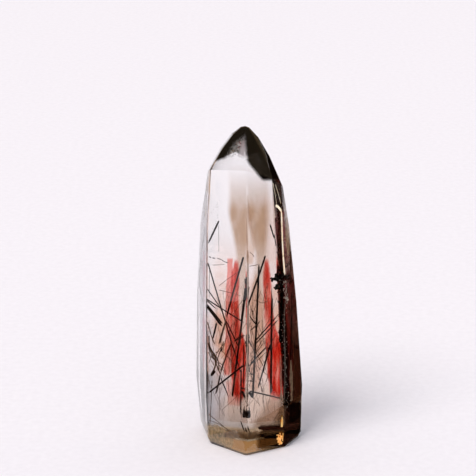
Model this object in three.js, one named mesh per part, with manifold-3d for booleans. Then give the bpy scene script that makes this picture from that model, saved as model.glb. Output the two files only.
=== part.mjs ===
// Rutilated quartz point: a polished tower of clear to smoky quartz that stands on its cut base.
// Black needles cross it inside, and a thin red iron oxide film lies just under its back face.
// Millimetres, +Z up, origin in the middle of the base, the face of the photograph towards -Y.
import * as THREE from "three";
import { ConvexGeometry } from "three/addons/geometries/ConvexGeometry.js";
import { mergeVertices } from "three/addons/utils/BufferGeometryUtils.js";
import Module from "manifold-3d";

const wasm = await Module();
wasm.setup();

// Driving dimensions of the polished point
const HEIGHT = 70;
const TIP = [-0.9, 0];
const TIP_BULGE = 1.6;
const TIP_RINGS = [0.12, 0.35, 0.65];
const EDGE = 0.28;
const TIP_EDGE_SHARE = 0.6;
const RIM_HEIGHT = 1.3;
const RIM_INSET = 0.94;

// The upright edges, anticlockwise from above: x and y at each height, then the shoulder with its own z
const EDGE_HEIGHTS = [RIM_HEIGHT, 12, 31, 48];
const UPRIGHTS = {
  left: { run: [[-10.5, 6.0], [-11.4, 6.0], [-11.1, 5.8], [-10.2, 4.2]], shoulder: [-8.7, 5.6, 58.5] },
  left_front: {
    run: [[-8.7, -3.1], [-9.1, -3.3], [-9.0, -3.2], [-8.8, -2.9]],
    shoulder: [-8.1, -2.5, 61.4],
  },
  front: { run: [[-0.8, -9.5], [-0.4, -9.9], [-0.5, -9.2], [-0.6, -8.2]], shoulder: [-1.0, -6.9, 62.7] },
  right_front: { run: [[8.1, -4.9], [7.2, -5.6], [6.1, -5.5], [5.3, -4.8]], shoulder: [4.7, -3.9, 60.0] },
  right: { run: [[11.3, 0.6], [11.5, 1.0], [10.1, 1.0], [8.4, 0.9]], shoulder: [7.0, 0.7, 56.6] },
  right_back: { run: [[7.1, 7.4], [7.4, 7.8], [6.7, 7.4], [5.5, 6.5]], shoulder: [4.4, 5.3, 59.0] },
  back: { run: [[-0.6, 9.6], [-0.4, 10.0], [-0.4, 9.4], [-0.5, 7.9]], shoulder: [-0.7, 6.6, 61.0] },
};

// The clear body is parted upright behind the middle, so that each needle can be laid in its groove
const PART_Y = 2.0;
const GAP = 0.3;
const BLOCK = 200;

// Where the photograph was taken from: the height angle, the distance, and the size of one pixel
const EYE_ELEVATION = THREE.MathUtils.degToRad(20);
const EYE_DISTANCE = 450;
const AIM = new THREE.Vector3(-2.35, -0.1, 45.7);
const PIXEL = 0.208;
const PHOTO_MIDDLE = 238;
const QUARTZ_IOR = 1.544;

// Needle form: six sides, a short taper at each end
const NEEDLE_SIDES = 6;
const NEEDLE_TAPER = 0.9;
const BLUNT = 0.55;
const END_WIDTH = 0.9;
const FOOT_SHARE = 1 / 3;
const LONGEST_TAPER = 1 / 3;
const SPIKE_WAIST = { width: 0.9, up: 0.78 };

// Needles as the photograph shows them. from and to are photograph pixels, depth is the distance
// in mm from the polished face to each end, thick is the width in mm. A tip is a spike or a plain cone.
const NEEDLES = [
  { name: "needle_top_left", from: [219, 221], to: [208, 244], depth: [2.6, 2.0], thick: 0.42 },
  { name: "needle_left_long", from: [208, 263], to: [235, 355], depth: [3.0, 4.6], thick: 0.36 },
  { name: "needle_left_short", from: [207.6, 289], to: [220.5, 308], depth: [4.4, 5.6], thick: 0.28 },
  { name: "needle_left_crossing", from: [206.5, 299], to: [244.5, 323], depth: [1.5, 2.2], thick: 0.32 },
  { name: "needle_left_grey", from: [207, 300.5], to: [217, 309.5], depth: [3.2, 3.8], thick: 0.3 },
  { name: "needle_left_thick", from: [206.5, 305], to: [222.5, 327], depth: [2.2, 2.6], thick: 0.7 },
  { name: "needle_left_stub", from: [216.8, 323], to: [212.6, 340], depth: [4.6, 5.4], thick: 0.42 },
  { name: "needle_left_brown", from: [225, 323], to: [219.5, 345], depth: [5.4, 6.0], thick: 0.26 },
  { name: "needle_left_steep", from: [226, 321], to: [239, 348], depth: [6.2, 6.6], thick: 0.3 },
  { name: "needle_left_bend_top", from: [230.5, 344], to: [220.6, 371.5], depth: [3.6, 3.4], thick: 0.34 },
  { name: "needle_left_bend_foot", from: [220.4, 375], to: [216.4, 394], depth: [3.4, 3.6], thick: 0.28 },
  { name: "needle_left_fork", from: [220.8, 378], to: [229, 398], depth: [4.4, 4.8], thick: 0.28 },
  { name: "needle_left_blob", from: [214.6, 370.5], to: [210.8, 376.5], depth: [3.4, 3.2], thick: 0.8 },
  { name: "needle_middle_long", from: [242.3, 257], to: [226, 318], depth: [12.2, 7.3], thick: 0.42 },
  { name: "needle_middle_tall", from: [253.5, 397], to: [259, 263.5], depth: [11.1, 4.3], thick: 0.46 },
  { name: "needle_middle_hook", from: [234, 341], to: [244.5, 336.5], depth: [3.4, 3.0], thick: 0.26 },
  { name: "needle_long_diagonal", from: [243, 365.6], to: [206, 392.6], depth: [1.5, 1.5], thick: 0.44 },
  { name: "needle_lower_upright", from: [241, 369], to: [240.6, 416], depth: [2.6, 2.4], thick: 0.34 },
  { name: "needle_spike", from: [243.6, 417.5], to: [243.9, 406], depth: [2.5, 2.5], thick: 0.9, tip: "cone" },
  { name: "needle_base", from: [240.5, 421], to: [252.5, 440], depth: [2.2, 1.8], thick: 0.3 },
  { name: "needle_diagonal_right", from: [251, 363.6], to: [267, 346], depth: [1.6, 2.6], thick: 0.34 },
  { name: "needle_lower_crossing", from: [250, 391], to: [282, 398.8], depth: [1.5, 1.6], thick: 0.32 },
  { name: "needle_lower_left_end", from: [240.5, 387.6], to: [246, 389.4], depth: [1.4, 1.3], thick: 0.32 },
  { name: "needle_corner_crossing", from: [284.5, 399.2], to: [292, 402.5], depth: [1.5, 1.8], thick: 0.3 },
  { name: "needle_ladder_left", from: [248.6, 345], to: [248.4, 386], depth: [2.6, 2.8], thick: 0.26 },
  { name: "needle_ladder_foot", from: [249, 391.5], to: [254, 398.5], depth: [3.6, 3.8], thick: 0.6 },
  { name: "needle_right_main", from: [270.7, 393], to: [271.5, 284], depth: [2.2, 1.9], thick: 0.5, tip: "spike" },
  { name: "needle_right_top", from: [270, 224.5], to: [274.6, 240], depth: [1.6, 1.4], thick: 0.3 },
  { name: "needle_right_rising", from: [254.5, 342], to: [277, 315.5], depth: [4.4, 3.2], thick: 0.3 },
  { name: "needle_right_rising_low", from: [256, 343.5], to: [277.6, 319.5], depth: [5.4, 4.2], thick: 0.28 },
  { name: "needle_star_down", from: [249.8, 316], to: [258.5, 328], depth: [2.0, 2.2], thick: 0.24 },
  { name: "needle_star_up", from: [250.5, 330.5], to: [260.5, 321.5], depth: [1.4, 1.6], thick: 0.26 },
  { name: "needle_right_slant", from: [269.8, 345], to: [258, 388.5], depth: [3.2, 3.4], thick: 0.44 },
  { name: "needle_corner_cluster", from: [279.5, 279], to: [286, 275.5], depth: [2.6, 3.2], thick: 0.8 },
  { name: "needle_corner_spur", from: [279.5, 289], to: [284.5, 284.5], depth: [2.3, 2.8], thick: 0.6 },
  { name: "needle_corner_upper", from: [281.5, 292], to: [281.5, 344], depth: [1.8, 2.0], thick: 0.8 },
  { name: "needle_corner_lower", from: [284.5, 350], to: [287, 408], depth: [2.2, 2.6], thick: 0.7 },
];

// Needles that only the back shows well: both ends in mm, and the width
const BACK_NEEDLES = [
  { name: "needle_back_rising", from: [-9.2, 3.4, 10], to: [-8.2, 4.6, 27], thick: 0.4 },
  { name: "needle_back_upright", from: [-8.6, 2.8, 29], to: [-7.8, 3.4, 42], thick: 0.34 },
  { name: "needle_back_right", from: [6.4, 2.6, 14], to: [7.2, 2.9, 33], thick: 0.42 },
];

// The red film: a flake on the face right of the back edge, its sides given from the bottom up
const FILM_THICK = 0.3;
const FILM_DEPTH = 0.35;
const FILM_FOOT = [1.5, 9.2, 6.6];
const FILM_TURN = THREE.MathUtils.degToRad(-16);
const FILM_LEAN = THREE.MathUtils.degToRad(2);
const RECESS_REACH = 2;
const FILM_SIDES = [
  { up: 0, left: -0.8, right: 1.8 },
  { up: 3, left: -1.3, right: 2.4 },
  { up: 8, left: -1.8, right: 2.6 },
  { up: 14, left: -2.0, right: 2.4 },
  { up: 17, left: -1.8, right: 1.3 },
  { up: 24, left: -1.8, right: 1.1 },
  { up: 30.5, left: -1.9, right: 1.3 },
  { up: 31.6, left: -1.1, right: 0.9 },
  { up: 33.6, left: -0.9, right: 0.7 },
];

const QUARTZ_FINISH = { color: 0xe9e2dc, roughness: 0.03, metalness: 0, transparent: true, opacity: 0.4 };
const NEEDLE_FINISH = { color: 0x0d0b0a, roughness: 0.35, metalness: 0.1 };
const FILM_FINISH = { color: 0xc4362b, roughness: 0.6, metalness: 0 };

const UP = new THREE.Vector3(0, 1, 0);

function solid(geometry) {
  const bare = geometry.clone();
  bare.deleteAttribute("normal");
  bare.deleteAttribute("uv");
  const merged = mergeVertices(bare, 1e-4);
  const vertProperties = merged.getAttribute("position").array;
  const triVerts = new Uint32Array(merged.index.array);
  return new wasm.Manifold(new wasm.Mesh({ numProp: 3, vertProperties, triVerts }));
}

function geometryOf(body) {
  const mesh = body.getMesh();
  const geometry = new THREE.BufferGeometry();
  geometry.setAttribute("position", new THREE.BufferAttribute(mesh.vertProperties, 3));
  geometry.setIndex(new THREE.BufferAttribute(mesh.triVerts, 1));
  geometry.computeVertexNormals();
  return geometry;
}

// Each corner of a ring gives way to two points, one on each side, so that the edge is a soft bevel
function bevelled(ring, edge) {
  if (edge === 0) return ring;
  return ring.flatMap((corner, i) => {
    const before = ring.at(i - 1).clone().sub(corner).setLength(edge);
    const after = ring[(i + 1) % ring.length].clone().sub(corner).setLength(edge);
    return [corner.clone().add(before), corner.clone().add(after)];
  });
}

// The polished point: rings from the rim to the shoulder, then rings that close over to the tip
function pointForm(edge) {
  const uprights = Object.values(UPRIGHTS);
  const rings = EDGE_HEIGHTS.map((z, i) => uprights.map(({ run }) => new THREE.Vector3(...run[i], z)));
  const rim = rings[0].map((p) => new THREE.Vector3(p.x * RIM_INSET, p.y * RIM_INSET, 0));
  const shoulder = uprights.map((u) => new THREE.Vector3(...u.shoulder));
  const points = [rim, ...rings, shoulder].flatMap((ring) => bevelled(ring, edge));
  for (const share of TIP_RINGS) {
    const ring = shoulder.map((p) => new THREE.Vector3(
      THREE.MathUtils.lerp(TIP[0], p.x, share),
      THREE.MathUtils.lerp(TIP[1], p.y, share),
      p.z + (HEIGHT - p.z) * (1 - share ** TIP_BULGE),
    ));
    const softness = THREE.MathUtils.lerp(TIP_EDGE_SHARE, 1, share) * Math.sqrt(share);
    points.push(...bevelled(ring, edge * softness));
  }
  points.push(new THREE.Vector3(...TIP, HEIGHT));
  return new ConvexGeometry(points);
}

// Where a photograph pixel's line of sight enters the point, and how far it then runs inside the quartz
const sightForm = new THREE.Mesh(pointForm(0), new THREE.MeshBasicMaterial());
const towardsEye = new THREE.Vector3(0, -Math.cos(EYE_ELEVATION), Math.sin(EYE_ELEVATION));
const eye = AIM.clone().addScaledVector(towardsEye, EYE_DISTANCE);
const frameRight = new THREE.Vector3(1, 0, 0);
const frameUp = new THREE.Vector3(0, Math.sin(EYE_ELEVATION), Math.cos(EYE_ELEVATION));

function sighted([px, py], depth) {
  const aim = AIM.clone()
    .addScaledVector(frameRight, (px - PHOTO_MIDDLE) * PIXEL)
    .addScaledVector(frameUp, (PHOTO_MIDDLE - py) * PIXEL);
  const line = aim.sub(eye).normalize();
  const [hit] = new THREE.Raycaster(eye, line).intersectObject(sightForm);
  const normal = hit.face.normal;
  const cosine = -normal.dot(line);
  const bend = Math.sqrt(1 - (1 - cosine ** 2) / QUARTZ_IOR ** 2);
  const inside = line.clone().divideScalar(QUARTZ_IOR);
  inside.addScaledVector(normal, cosine / QUARTZ_IOR - bend);
  return hit.point.clone().addScaledVector(inside, depth);
}

// A needle stands up along its length at first: a six-sided rod whose far end is blunt, a spike or a cone
function needleForm(length, thick, tip) {
  const half = thick / 2;
  const taper = Math.min(NEEDLE_TAPER, length * LONGEST_TAPER);
  const profile = [
    new THREE.Vector2(0, 0),
    new THREE.Vector2(half * BLUNT, 0),
    new THREE.Vector2(half, taper * FOOT_SHARE),
  ];
  if (tip === "spike") profile.push(new THREE.Vector2(half * SPIKE_WAIST.width, length * SPIKE_WAIST.up));
  if (tip === "none") profile.push(new THREE.Vector2(half * END_WIDTH, length - taper));
  profile.push(new THREE.Vector2(0, length));
  return new THREE.LatheGeometry(profile, NEEDLE_SIDES);
}

// The groove that a needle is laid in runs from the needle to the parting plane
function grooveForm(from, to, thick) {
  const room = thick / 2 + GAP;
  const along = new THREE.Vector3(to.x - from.x, 0, to.z - from.z);
  const length = along.length();
  const slope = (to.y - from.y) / length;
  const over = room * Math.hypot(1, slope);
  const [start, end] = [from.y - slope * room, to.y + slope * room];
  const outline = new THREE.Shape([
    new THREE.Vector2(-room, Math.min(start - over, PART_Y)),
    new THREE.Vector2(length + room, Math.min(end - over, PART_Y)),
    new THREE.Vector2(length + room, Math.max(end + over, PART_Y)),
    new THREE.Vector2(-room, Math.max(start + over, PART_Y)),
  ]);
  const groove = new THREE.ExtrudeGeometry(outline, { depth: 2 * room, bevelEnabled: false });
  groove.translate(0, 0, -room);
  groove.rotateY(-Math.atan2(along.z, along.x));
  groove.translate(from.x, 0, from.z);
  return groove;
}

// The film stands in its own frame, foot at the origin and its outer side inwards of the face by
// FILM_DEPTH. A margin widens it, and outward takes it out through the face, to cut its recess.
function filmForm(margin, outward) {
  const left = FILM_SIDES.map(({ up, left: x }) => new THREE.Vector2(x - margin, up));
  const right = FILM_SIDES.map(({ up, right: x }) => new THREE.Vector2(x + margin, up));
  for (const side of [left, right]) {
    side[0].y -= margin;
    side.at(-1).y += margin;
  }
  const outline = new THREE.Shape([...right, ...left.reverse()]);
  const depth = FILM_THICK + margin + outward;
  const film = new THREE.ExtrudeGeometry(outline, { depth, bevelEnabled: false });
  film.translate(0, 0, FILM_DEPTH - outward);
  film.rotateX(Math.PI / 2);
  return film;
}

const group = new THREE.Group();

function add(name, geometry, finish) {
  const mesh = new THREE.Mesh(geometry, new THREE.MeshStandardMaterial(finish));
  mesh.name = name;
  group.add(mesh);
  return mesh;
}

// The needles, each laid along its own line
const grooves = [];

function addNeedle(name, from, to, thick, tip = "none") {
  const along = to.clone().sub(from);
  const needle = add(name, needleForm(along.length(), thick, tip), NEEDLE_FINISH);
  needle.position.copy(from);
  needle.quaternion.setFromUnitVectors(UP, along.normalize());
  grooves.push(solid(grooveForm(from, to, thick)));
}

for (const { name, from, to, depth, thick, tip } of NEEDLES) {
  addNeedle(name, sighted(from, depth[0]), sighted(to, depth[1]), thick, tip);
}
for (const { name, from, to, thick } of BACK_NEEDLES) {
  addNeedle(name, new THREE.Vector3(...from), new THREE.Vector3(...to), thick);
}

// The red film, turned and leaned with the back face
const filmPlace = new THREE.Matrix4()
  .makeRotationZ(FILM_TURN)
  .multiply(new THREE.Matrix4().makeRotationX(FILM_LEAN))
  .setPosition(...FILM_FOOT);
add("red_film", filmForm(0, 0), FILM_FINISH).applyMatrix4(filmPlace);
const recess = solid(filmForm(GAP, FILM_DEPTH + RECESS_REACH).applyMatrix4(filmPlace));

// The clear point in its two halves
const point = solid(pointForm(EDGE));
const allGrooves = grooves.reduce((cut, groove) => cut.add(groove));
for (const [name, side] of [["quartz_front", -1], ["quartz_back", 1]]) {
  const block = new THREE.BoxGeometry(BLOCK, BLOCK, BLOCK);
  block.translate(0, PART_Y + side * (GAP + BLOCK) / 2, 0);
  let half = point.intersect(solid(block)).subtract(allGrooves);
  if (side > 0) half = half.subtract(recess);
  add(name, geometryOf(half), QUARTZ_FINISH);
}

export default group;
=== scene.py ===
# Rutilated quartz point, dressed for the render. Metres, +Z up, the photographed side towards -Y.
import math
import random

import bpy
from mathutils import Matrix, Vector


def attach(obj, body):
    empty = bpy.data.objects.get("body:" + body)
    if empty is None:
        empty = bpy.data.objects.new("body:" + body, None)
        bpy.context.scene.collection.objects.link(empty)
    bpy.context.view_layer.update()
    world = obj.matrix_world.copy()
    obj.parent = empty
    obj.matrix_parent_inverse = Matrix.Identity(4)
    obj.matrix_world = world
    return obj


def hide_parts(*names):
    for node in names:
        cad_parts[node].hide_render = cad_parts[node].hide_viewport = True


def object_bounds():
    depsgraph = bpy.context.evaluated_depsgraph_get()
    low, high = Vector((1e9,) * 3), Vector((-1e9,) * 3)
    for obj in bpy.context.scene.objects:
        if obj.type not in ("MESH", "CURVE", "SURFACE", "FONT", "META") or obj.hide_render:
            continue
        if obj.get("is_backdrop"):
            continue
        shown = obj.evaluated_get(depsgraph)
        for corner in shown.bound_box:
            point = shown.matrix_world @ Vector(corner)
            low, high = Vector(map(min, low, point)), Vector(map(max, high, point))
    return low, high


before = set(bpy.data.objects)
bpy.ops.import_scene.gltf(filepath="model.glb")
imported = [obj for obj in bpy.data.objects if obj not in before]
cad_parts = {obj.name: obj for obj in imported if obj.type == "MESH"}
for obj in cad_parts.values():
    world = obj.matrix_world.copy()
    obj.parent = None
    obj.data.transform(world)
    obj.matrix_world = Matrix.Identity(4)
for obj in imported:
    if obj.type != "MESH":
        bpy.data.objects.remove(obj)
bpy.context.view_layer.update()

# Where the photograph was taken from: straight in front of the stone, a little above it, with a long
# lens. One pixel of the photograph is 0.208 mm at the stone.
EYE_ELEVATION = math.radians(20)
EYE_DISTANCE = 0.45
AIM = Vector((-0.00235, -0.0001, 0.0457))
PIXEL = 0.000208
PHOTO_SIDE = 476
SENSOR = 36

back = Vector((0, -math.cos(EYE_ELEVATION), math.sin(EYE_ELEVATION)))
eye = AIM + EYE_DISTANCE * back
bpy.ops.object.camera_add(location=eye, rotation=(math.pi / 2 - EYE_ELEVATION, 0, 0))
camera = bpy.context.object
camera.data.sensor_width = SENSOR
camera.data.lens = SENSOR * EYE_DISTANCE / (PHOTO_SIDE * PIXEL)
bpy.context.scene.camera = camera

# The crystal: one piece of clear, faintly smoky quartz, ground to seven sides and a point and polished
# by hand, so its edges are softly rounded. It encloses everything else.
QUARTZ_IOR = 1.544
SMOKE = (0.62, 0.5, 0.4)
SMOKE_DENSITY = 2
POLISH_WEAR = 0.02
WEAR_GRAIN = 900
WAVE_GRAIN = 160
WAVE_STRENGTH = 0.05
WAVE_DEPTH = 0.0004
EDGE_ROUND = 0.00006
EDGE_STEPS = 3
FLAT_ANGLE = math.radians(0.5)
RING_ANGLE = math.radians(14)
SAME_POINT = 1e-6


class Wire:
    """A value inside a material: arithmetic on it adds Math nodes."""

    def __init__(self, tree, socket=None):
        self.tree = tree
        self.socket = socket

    def node(self, kind, settings=None, sockets=None, out=0):
        """A new node: its settings first, then a value or a link for each socket that is named."""
        node = self.tree.nodes.new("ShaderNode" + kind)
        for name, value in (settings or {}).items():
            if name == "stops":
                set_stops(node.color_ramp, value)
            else:
                setattr(node, name, value)
        for name, value in (sockets or {}).items():
            if isinstance(value, Wire):
                self.tree.links.new(value.socket, node.inputs[name])
            else:
                node.inputs[name].default_value = value
        return Wire(self.tree, node.outputs[out] if node.outputs else None)

    def math(self, operation, first, second):
        return self.node("Math", {"operation": operation}, {0: first, 1: second})

    def larger(self, other):
        return self.math("MAXIMUM", self, other)

    def smaller(self, other):
        return self.math("MINIMUM", self, other)

    def __add__(self, other):
        return self.math("ADD", self, other)

    def __sub__(self, other):
        return self.math("SUBTRACT", self, other)

    def __rsub__(self, other):
        return self.math("SUBTRACT", other, self)

    def __mul__(self, other):
        return self.math("MULTIPLY", self, other)

    __radd__ = __add__
    __rmul__ = __mul__


def set_stops(ramp, stops):
    while len(ramp.elements) < len(stops):
        ramp.elements.new(1)
    for element, (place, value) in zip(ramp.elements, stops):
        element.position = place
        element.color = (*value, 1) if isinstance(value, tuple) else (value, value, value, 1)


def new_finish(name):
    material = bpy.data.materials.new(name)
    material.use_nodes = True
    material.node_tree.nodes.clear()
    return material, Wire(material.node_tree)


def object_place(wire):
    """The Object coordinates, which hold a pattern to its piece."""
    return wire.node("TexCoord", out=3)


def grain(wire, place, scale, detail=3, roughness=0.55):
    """Noise between 0 and 1: the scale is how many of its waves go into a metre."""
    return wire.node(
        "TexNoise", {"noise_dimensions": "3D"},
        {"Vector": place, "Scale": scale, "Detail": detail, "Roughness": roughness},
    )


def select_only(*objects):
    bpy.ops.object.select_all(action="DESELECT")
    for one in objects:
        one.select_set(True)
    bpy.context.view_layer.objects.active = objects[0]


def own_copy(name, mesh):
    """A new object with a copy of a mesh."""
    copy = bpy.data.objects.new(name, mesh.copy())
    bpy.context.scene.collection.objects.link(copy)
    return copy


def polished_quartz():
    material, wire = new_finish("polished_quartz")
    place = object_place(wire)
    wear = grain(wire, place, WEAR_GRAIN)
    waves = grain(wire, place, WAVE_GRAIN, detail=1)
    relief = wire.node("Bump", None, {"Strength": WAVE_STRENGTH, "Distance": WAVE_DEPTH, "Height": waves})
    glass = wire.node("BsdfPrincipled", None, {
        "Base Color": (1, 1, 1, 1),
        "Roughness": wear * POLISH_WEAR,
        "IOR": QUARTZ_IOR,
        "Transmission Weight": 1.0,
        "Normal": relief,
    })
    smoke = wire.node("VolumeAbsorption", None, {"Color": (*SMOKE, 1), "Density": SMOKE_DENSITY})
    wire.node("OutputMaterial", None, {"Surface": glass, "Volume": smoke})
    return material


crystal = own_copy("crystal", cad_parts["quartz_front"].data)
select_only(crystal, own_copy("rear_half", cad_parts["quartz_back"].data))
bpy.ops.object.join()
crystal.data.materials.clear()
crystal.data.materials.append(polished_quartz())
bpy.ops.object.mode_set(mode="EDIT")
bpy.ops.mesh.select_all(action="SELECT")
bpy.ops.mesh.remove_doubles(threshold=SAME_POINT)
bpy.ops.mesh.convex_hull()
bpy.ops.mesh.select_all(action="SELECT")
bpy.ops.mesh.dissolve_limited(angle_limit=FLAT_ANGLE)
bpy.ops.mesh.normals_make_consistent(inside=False)
bpy.ops.object.mode_set(mode="OBJECT")
rounding = crystal.modifiers.new("rounding", "BEVEL")
rounding.width = EDGE_ROUND
rounding.segments = EDGE_STEPS
rounding.limit_method = "ANGLE"
rounding.angle_limit = RING_ANGLE
bpy.ops.object.modifier_apply(modifier=rounding.name)
bpy.ops.object.shade_smooth_by_angle(angle=RING_ANGLE)
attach(crystal, "root")
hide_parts("quartz_front", "quartz_back")

# The smoke curtain: a cloud where the clear quartz is tinted tan, without a surface of its own. It hangs
# behind the middle like a curtain, with a fainter pink haze beside it lower down.
VEIL_Y = 0.0023
VEIL_SIDES = (0.0165, 0.056)
VEIL_MIDDLE_Z = 0.0325
VEIL_STEPS = (40, 120)
SMOKE_WAVE = 0.0012
SMOKE_WAVE_SIZE = 0.006
VEIL_LEFT = (-0.0030, -0.0017)
VEIL_RIGHT = (0.0038, 0.0014)
VEIL_TAN = (0.52, 0.345, 0.225, 1)
VEIL_HEIGHTS = [(0.0, 0.3), (0.12, 0.5), (0.5, 0.6), (0.64, 0.75), (0.72, 1), (0.84, 1), (0.9, 0.55), (1, 0)]
VEIL_DRAWN = 0.3
FOLD_GRAIN = 330
DRIFT_GRAIN = 190
VEIL_FOLDS = (-0.1, 0.55)
VEIL_REACH = (0.006, 0.0605)
VEIL_DRIFT = 0.0026
VEIL_WAIST = [(0.052, 0.041), (0.030, 0.038)]
VEIL_NARROW = (0.0015, 0.0006)
HAZE_PINK = (0.76, 0.4, 0.24, 1)
HAZE_HEIGHTS = [(0.0, 0.25), (0.1, 0.35), (0.26, 1), (0.48, 0.75), (0.6, 0.35), (0.75, 0.06), (0.85, 0)]
HAZE_UPPER = 0.45
HAZE_UPPER_SIDE = (0.0, 0.0022)
HAZE_UPPER_HEIGHTS = (0.058, 0.05)
HAZE_GRAIN = 260
HAZE_PATCHES = (0.05, 0.62)
HAZE_SIDE = (0.0072, 0.0056)
HAZE_LEFT = (-0.0068, -0.0042)
HAZE_LEFT_SHARE = 0.25
AXIS_X = -0.0009
CURTAIN_SHARE = 0.96
ACROSS, DEPTH, UP = range(3)
WHITE = (1, 1, 1, 1)


def reach_towards(middle, way):
    """The point of the polished faces that lies that way from a point inside."""
    return crystal.ray_cast(middle, way)[1]


def share_of_reach(point):
    """How far out a point lies from the upright axis, as a share of the way to the polished face."""
    middle = Vector((AXIS_X, 0, point.z))
    outwards = point - middle
    return outwards.length / (reach_towards(middle, outwards.normalized()) - middle).length


def swell(piece):
    waves = bpy.data.textures.new(piece.name + "_waves", "CLOUDS")
    waves.noise_scale = SMOKE_WAVE_SIZE
    rolling = piece.modifiers.new("rolling", "DISPLACE")
    rolling.texture = waves
    rolling.texture_coords = "LOCAL"
    rolling.strength = SMOKE_WAVE
    select_only(piece)
    bpy.ops.object.modifier_apply(modifier=rolling.name)


def choose_faces(piece, wanted):
    """Selects the faces of the active piece that pass a test, and leaves it in edit mode."""
    bpy.ops.object.mode_set(mode="EDIT")
    bpy.ops.mesh.select_all(action="DESELECT")
    bpy.ops.mesh.select_mode(type="FACE")
    bpy.ops.object.mode_set(mode="OBJECT")
    for face in piece.data.polygons:
        face.select = wanted(face)
    bpy.ops.object.mode_set(mode="EDIT")


def coordinate(wire, place, axis):
    return wire.node("SeparateXYZ", None, {0: place}, out=axis)


def drawn_out(wire, place, share):
    """The place for a pattern that is drawn out upwards, with that share of its fineness left."""
    return wire.node("Mapping", None, {"Vector": place, "Scale": (1, 1, share)})


def along(wire, value, start, end):
    """0 at the start, 1 at the end, and even between them."""
    return wire.node("MapRange", None, {"Value": value, "From Min": start, "From Max": end})


def smooth(wire, value, start, end):
    """0 at the start, 1 at the end, and softly eased between them."""
    ends = {"Value": value, "From Min": start, "From Max": end}
    return wire.node("MapRange", {"interpolation_type": "SMOOTHSTEP"}, ends)


def ramp(wire, value, stops):
    return wire.node("ValToRGB", {"stops": stops}, {0: value})


def sheer(wire, colour=WHITE):
    return wire.node("BsdfTransparent", None, {"Color": colour})


def mixed(wire, share, first, second):
    return wire.node("MixShader", None, {0: share, 1: first, 2: second})


def tinted(wire, mask, tint):
    """Clear where the mask is 0, and as dark as the tint where it is 1."""
    return mixed(wire, mask, sheer(wire), sheer(wire, tint))


def veil_finish():
    material, wire = new_finish("tan_smoke")
    place = object_place(wire)
    across = coordinate(wire, place, ACROSS)
    height = coordinate(wire, place, UP)
    drawn = drawn_out(wire, place, VEIL_DRAWN)
    folds = grain(wire, drawn, FOLD_GRAIN, detail=2)
    drift = (grain(wire, drawn, DRIFT_GRAIN, detail=2) - 0.5) * VEIL_DRIFT
    waist = smooth(wire, height, *VEIL_WAIST[0]) * smooth(wire, height, *VEIL_WAIST[1])
    left = smooth(wire, across + drift - waist * VEIL_NARROW[0], *VEIL_LEFT)
    right = smooth(wire, across + drift + waist * VEIL_NARROW[1], *VEIL_RIGHT)
    rise = along(wire, height, *VEIL_REACH)
    column = left * right * ramp(wire, rise, VEIL_HEIGHTS) * smooth(wire, folds, *VEIL_FOLDS)
    upper = smooth(wire, across, *HAZE_UPPER_SIDE) * smooth(wire, height, *HAZE_UPPER_HEIGHTS) * HAZE_UPPER
    patches = smooth(wire, grain(wire, place, HAZE_GRAIN), *HAZE_PATCHES) * smooth(wire, across, *HAZE_SIDE)
    leftward = HAZE_LEFT_SHARE + smooth(wire, across, *HAZE_LEFT) * (1 - HAZE_LEFT_SHARE)
    haze = ramp(wire, rise, HAZE_HEIGHTS).larger(upper) * patches * leftward
    smoke = mixed(wire, haze * (1 - column), tinted(wire, column, VEIL_TAN), sheer(wire, HAZE_PINK))
    wire.node("OutputMaterial", None, {"Surface": smoke})
    return material


bpy.ops.object.select_all(action="DESELECT")
bpy.ops.mesh.primitive_grid_add(
    x_subdivisions=VEIL_STEPS[0], y_subdivisions=VEIL_STEPS[1], size=1,
    location=(0, VEIL_Y, VEIL_MIDDLE_Z), rotation=(math.pi / 2, 0, 0),
)
veil = bpy.context.object
veil.name = "smoke_curtain"
veil.scale = (*VEIL_SIDES, 1)
bpy.ops.object.transform_apply(location=True, rotation=True, scale=True)
swell(veil)
choose_faces(veil, lambda face: share_of_reach(face.center) > CURTAIN_SHARE)
bpy.ops.mesh.delete(type="FACE")
bpy.ops.object.mode_set(mode="OBJECT")
veil.data.materials.append(veil_finish())
bpy.ops.object.shade_smooth()
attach(veil, "root")

# The foot's smoke: a second cloud, brown and darker, that fills the bottom of the stone. It is partly the
# stone's own smoky colour and partly painted shade of the shadowed table seen through the base. It has no
# surface of its own either, and ends level just above the cut base.
FOOT_MIDDLE = (0.0016, 0, 0.0005)
FOOT_HALF = (0.0078, 0.0066, 0.0135)
FOOT_RINGS = 32
FOOT_BROWN_AND_SHADE = (0.66, 0.42, 0.16)
FOOT_DENSITY = 48
FOOT_FLOOR = 0.0004
CUT_STEP = 1e-7


def cut_level(height, up, fill=False):
    """In edit mode, cuts off what lies below a height, or above it where up is -1."""
    bpy.ops.mesh.select_all(action="SELECT")
    bpy.ops.mesh.bisect(
        plane_co=(0, 0, height), plane_no=(0, 0, up), use_fill=fill, clear_inner=True, threshold=CUT_STEP,
    )


def foot_smoke_and_shade_finish():
    material, wire = new_finish("brown_smoke")
    tint = wire.node("VolumeAbsorption", None, {"Color": (*FOOT_BROWN_AND_SHADE, 1), "Density": FOOT_DENSITY})
    wire.node("OutputMaterial", None, {"Volume": tint})
    return material


bpy.ops.object.select_all(action="DESELECT")
bpy.ops.mesh.primitive_uv_sphere_add(segments=2 * FOOT_RINGS, ring_count=FOOT_RINGS, location=FOOT_MIDDLE)
foot = bpy.context.object
foot.name = "smoke_foot"
foot.scale = FOOT_HALF
bpy.ops.object.transform_apply(location=True, rotation=True, scale=True)
swell(foot)
bpy.ops.object.mode_set(mode="EDIT")
cut_level(FOOT_FLOOR, 1, fill=True)
bpy.ops.object.mode_set(mode="OBJECT")
foot.data.materials.append(foot_smoke_and_shade_finish())
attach(foot, "root")
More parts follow.
